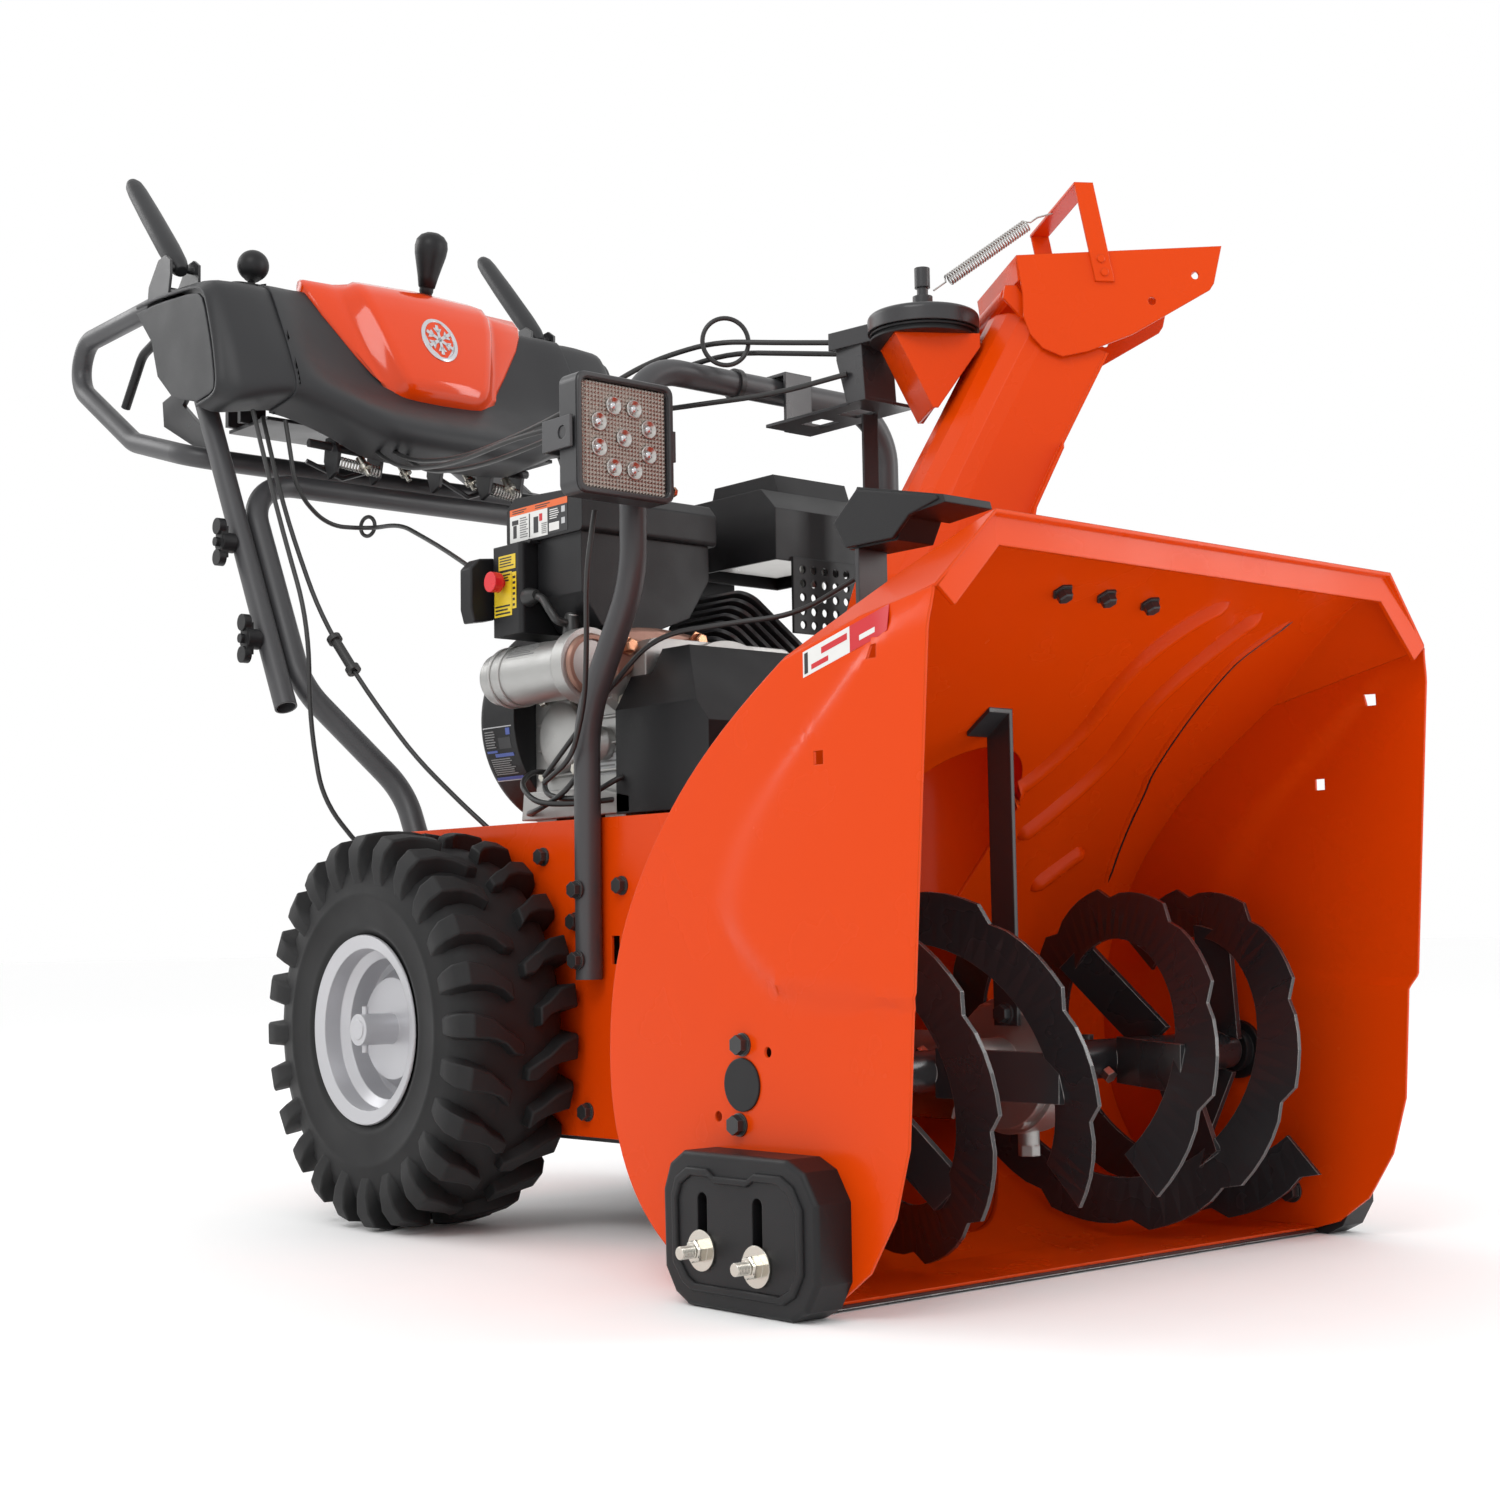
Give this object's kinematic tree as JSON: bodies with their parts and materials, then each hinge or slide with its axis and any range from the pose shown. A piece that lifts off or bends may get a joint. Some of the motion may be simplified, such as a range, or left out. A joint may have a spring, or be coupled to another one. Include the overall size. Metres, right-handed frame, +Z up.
{
  "type": "snow blower",
  "caption": "Walk-behind two-stage snow blower with a wide auger housing, turning chute, engine, pneumatic tyres, light hoop and tubular handles.",
  "frame": {"origin": "on the ground under the middle of the whole machine", "axes": "+Z up, -Y to the front (the auger), +X to the operator's left"},
  "size_m": [0.718, 1.5248, 1.1858],
  "materials": {
    "orange_paint": "gloss",
    "black_paint": "satin",
    "auger_paint": "satin",
    "dark_plastic": "textured",
    "black_plastic": "textured",
    "orange_plastic": "gloss",
    "red_plastic": "gloss",
    "tyre_rubber": "matte",
    "cable_rubber": "satin",
    "rim_paint": "satin",
    "cast_aluminium": "as cast",
    "steel": "turned",
    "zinc": "zinc plated",
    "lens": "clear",
    "badge": "satin"
  },
  "bodies": {
    "chassis": {"bearings": "zinc", "belt_cover": "black_plastic", "bottom_cover": "black_paint", "chute_cables": "cable_rubber", "chute_stand": "black_paint", "clutch_cables": "cable_rubber", "console": "dark_plastic", "console_hood": "orange_plastic", "control_box": "black_plastic", "control_tray": "black_paint", "drive_belt": "cable_rubber", "engine_crankcase": "cast_aluminium", "engine_cylinder": "black_paint", "fasteners": "zinc", "frame_box": "orange_paint", "fuel_tank": "black_plastic", "gearbox": "cast_aluminium", "handle_knobs": "black_plastic", "heater_box": "black_plastic", "hood_badge": "badge", "housing_barrel": "orange_paint", "housing_brace": "black_paint", "housing_sides": "orange_paint", "impeller_drum": "orange_paint", "lever_brackets": "black_paint", "light_hoop": "black_paint", "lower_handle": "black_paint", "muffler": "steel", "muffler_cover": "black_paint", "recoil_housing": "black_plastic", "scraper_bar": "auger_paint", "skid_shoes": "black_plastic", "starter_motor": "cast_aluminium", "transmission_case": "black_paint", "upper_handle": "black_paint", "wiring": "cable_rubber"},
    "right_wheel": {"tyre_right": "tyre_rubber", "rim_right": "rim_paint"},
    "left_wheel": {"tyre_left": "tyre_rubber", "rim_left": "rim_paint"},
    "auger": {"auger_right": "auger_paint", "auger_left": "auger_paint", "auger_shaft": "steel"},
    "impeller": {"impeller": "steel"},
    "crank": {"crankshaft": "steel"},
    "chute": {"chute_tube": "orange_paint", "chute_ring": "black_plastic", "lift_spring": "zinc"},
    "deflector": {"chute_deflector": "orange_paint"},
    "work_light": {"work_light": "black_paint", "light_lens": "lens"},
    "right_drive_lever": {"control_lever_right": "black_plastic"},
    "left_drive_lever": {"control_lever_left": "black_plastic"},
    "right_trigger": {"steering_trigger_right": "black_plastic"},
    "left_trigger": {"steering_trigger_left": "black_plastic"},
    "shift_lever": {"shift_lever": "black_plastic"},
    "chute_lever": {"chute_lever": "black_plastic"},
    "key": {"engine_key": "red_plastic"},
    "cleanout_tool": {"cleanout_tool": "black_plastic"}
  },
  "joints": [
    {"name": "right_wheel_spin", "type": "hinge", "parent": "chassis", "child": "right_wheel", "pos_m": [-0.219, 0.0436, 0.1905], "axis": [1, 0, 0], "continuous": true},
    {"name": "left_wheel_spin", "type": "hinge", "parent": "chassis", "child": "left_wheel", "pos_m": [0.219, 0.0436, 0.1905], "axis": [1, 0, 0], "continuous": true},
    {"name": "auger_spin", "type": "hinge", "parent": "chassis", "child": "auger", "pos_m": [0, -0.5444, 0.162], "axis": [1, 0, 0], "continuous": true},
    {"name": "impeller_spin", "type": "hinge", "parent": "chassis", "child": "impeller", "pos_m": [0, -0.3284, 0.162], "axis": [0, 1, 0], "continuous": true},
    {"name": "crank_spin", "type": "hinge", "parent": "chassis", "child": "crank", "pos_m": [0, -0.1564, 0.49], "axis": [0, 1, 0], "continuous": true},
    {"name": "chute_turn", "type": "hinge", "parent": "chassis", "child": "chute", "pos_m": [0, -0.4534, 0.47], "axis": [0, 0, 1], "range_deg": [-147, 33]},
    {"name": "deflector_tilt", "type": "hinge", "parent": "chute", "child": "deflector", "pos_m": [0.05409, -0.48853, 0.8305], "axis": [0.5446, 0.8387, 0], "range_deg": [-4, 45], "deforming": ["lift_spring"]},
    {"name": "light_tilt", "type": "hinge", "parent": "chassis", "child": "work_light", "pos_m": [-0.214, -0.2784, 0.714], "axis": [1, 0, 0], "range_deg": [-14, 14]},
    {"name": "right_drive_lever", "type": "hinge", "parent": "chassis", "child": "right_drive_lever", "pos_m": [-0.2504, 0.4896, 1.048], "axis": [1, 0, 0], "range_deg": [-40, 0], "stiffness_Nm_per_rad": 1.5, "springref_deg": 22.92},
    {"name": "left_drive_lever", "type": "hinge", "parent": "chassis", "child": "left_drive_lever", "pos_m": [0.2504, 0.4896, 1.048], "axis": [1, 0, 0], "range_deg": [-40, 0], "stiffness_Nm_per_rad": 1.5, "springref_deg": 22.92},
    {"name": "right_trigger", "type": "hinge", "parent": "chassis", "child": "right_trigger", "pos_m": [-0.2504, 0.5176, 0.984], "axis": [1, 0, 0], "range_deg": [0, 14], "stiffness_Nm_per_rad": 0.5, "springref_deg": -22.92},
    {"name": "left_trigger", "type": "hinge", "parent": "chassis", "child": "left_trigger", "pos_m": [0.2504, 0.5176, 0.984], "axis": [1, 0, 0], "range_deg": [0, 14], "stiffness_Nm_per_rad": 0.5, "springref_deg": -22.92},
    {"name": "speed_shift", "type": "hinge", "parent": "chassis", "child": "shift_lever", "pos_m": [0.04, 0.4456, 0.968], "axis": [1, 0, 0], "range_deg": [-20, 5]},
    {"name": "chute_lever_swing", "type": "hinge", "parent": "chassis", "child": "chute_lever", "pos_m": [-0.19, 0.4456, 0.968], "axis": [0, 1, 0], "range_deg": [-19, 5]},
    {"name": "key_pull", "type": "slide", "parent": "chassis", "child": "key", "axis": [-1, 0, 0], "range_m": [0, 0.008]},
    {"name": "cleanout_tool_lift", "type": "slide", "parent": "chassis", "child": "cleanout_tool", "axis": [0, 0, 1], "range_m": [0, 0.06]}
  ],
  "couplings": [
    {"joint": "impeller_spin", "follows": "auger_spin", "ratio": 10},
    {"joint": "crank_spin", "follows": "auger_spin", "ratio": 25.833},
    {"joint": "chute_lever_swing", "follows": "chute_turn", "ratio": 0.12}
  ]
}
